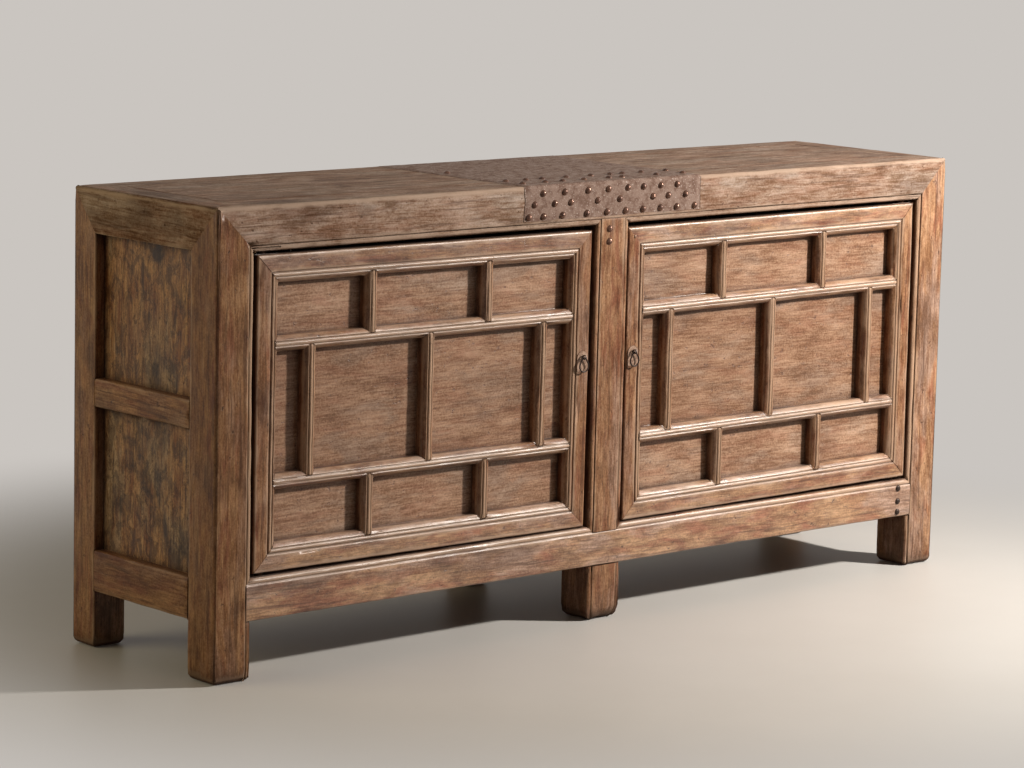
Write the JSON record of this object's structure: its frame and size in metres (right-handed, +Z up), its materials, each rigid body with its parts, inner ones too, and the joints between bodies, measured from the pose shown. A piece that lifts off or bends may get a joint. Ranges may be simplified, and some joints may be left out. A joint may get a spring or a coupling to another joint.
{
  "type": "sideboard",
  "caption": "Long low sideboard in weathered elm: moulded mitred frame, lattice-fronted doors on wooden pivots, ring pulls and a nailed iron strap over the top edge.",
  "frame": {"origin": "on the floor under the middle of the sideboard's box", "axes": "+X along the front to the user's right, +Y from the doors to the back, +Z up"},
  "size_m": [1.94, 0.4573, 0.8863],
  "materials": {
    "elm_frame": "worn waxed elm with open grain, rubbed edges and grey-pink cast",
    "elm_panel": "worn waxed elm boards, paler than the frame, with dark blotches",
    "inner_board": "unfinished aged softwood boards",
    "sheet_iron": "thin sheet iron with a dull grey-brown patina",
    "dark_iron": "dark brown rubbed iron",
    "aged_brass": "dull aged brass, brown in the recesses"
  },
  "bodies": {
    "carcass": {"post_front_left": "elm_frame", "post_rear_left": "elm_frame", "post_front_right": "elm_frame", "post_rear_right": "elm_frame", "post_front_centre": "elm_frame", "post_rear_centre": "elm_frame", "top_rail_front": "elm_frame", "bottom_rail_front": "elm_frame", "top_rail_rear": "elm_frame", "bottom_rail_rear": "elm_frame", "top_rail_left": "elm_frame", "bottom_rail_left": "elm_frame", "top_rail_right": "elm_frame", "bottom_rail_right": "elm_frame", "side_rail_left": "elm_frame", "side_rail_right": "elm_frame", "side_panel_lower_left": "elm_panel", "side_panel_upper_left": "elm_panel", "top_panel_left": "elm_panel", "side_panel_lower_right": "elm_panel", "side_panel_upper_right": "elm_panel", "top_panel_right": "elm_panel", "back_panel_left": "inner_board", "back_panel_right": "inner_board", "top_batten": "inner_board", "floor_bearer": "inner_board", "shelf_bearer": "inner_board", "floor_boards": "inner_board", "shelf_boards": "inner_board", "iron_strap": "sheet_iron", "dome_nails": "dark_iron"},
    "door_left": {"door_left_hinge_stile": "elm_frame", "door_left_meeting_stile": "elm_frame", "door_left_bottom_rail": "elm_frame", "door_left_top_rail": "elm_frame", "door_left_cross_bar_lower": "elm_frame", "door_left_cross_bar_upper": "elm_frame", "door_left_tall_bars": "elm_frame", "door_left_short_bars": "elm_frame", "door_left_panel_lower": "elm_panel", "door_left_panel_middle": "elm_panel", "door_left_panel_upper": "elm_panel", "door_left_pull_plate": "aged_brass", "door_left_pull_staple": "aged_brass"},
    "pull_left": {"door_left_pull_ring": "dark_iron"},
    "door_right": {"door_right_hinge_stile": "elm_frame", "door_right_meeting_stile": "elm_frame", "door_right_bottom_rail": "elm_frame", "door_right_top_rail": "elm_frame", "door_right_cross_bar_lower": "elm_frame", "door_right_cross_bar_upper": "elm_frame", "door_right_tall_bars": "elm_frame", "door_right_short_bars": "elm_frame", "door_right_panel_lower": "elm_panel", "door_right_panel_middle": "elm_panel", "door_right_panel_upper": "elm_panel", "door_right_pull_plate": "aged_brass", "door_right_pull_staple": "aged_brass"},
    "pull_right": {"door_right_pull_ring": "dark_iron"}
  },
  "joints": [
    {"name": "door_left_swing", "type": "hinge", "parent": "carcass", "child": "door_left", "pos_m": [-0.853, -0.19885, 0.4915], "axis": [0, 0, -1], "range_deg": [0, 110]},
    {"name": "door_right_swing", "type": "hinge", "parent": "carcass", "child": "door_right", "pos_m": [0.853, -0.19885, 0.4915], "axis": [0, 0, 1], "range_deg": [0, 110]},
    {"name": "pull_left_swing", "type": "hinge", "parent": "door_left", "child": "pull_left", "pos_m": [-0.07111, -0.22385, 0.53449], "axis": [-1, 0, 0], "range_deg": [-6, 85]},
    {"name": "pull_right_swing", "type": "hinge", "parent": "door_right", "child": "pull_right", "pos_m": [0.06512, -0.22385, 0.53449], "axis": [-1, 0, 0], "range_deg": [-6, 85]}
  ]
}
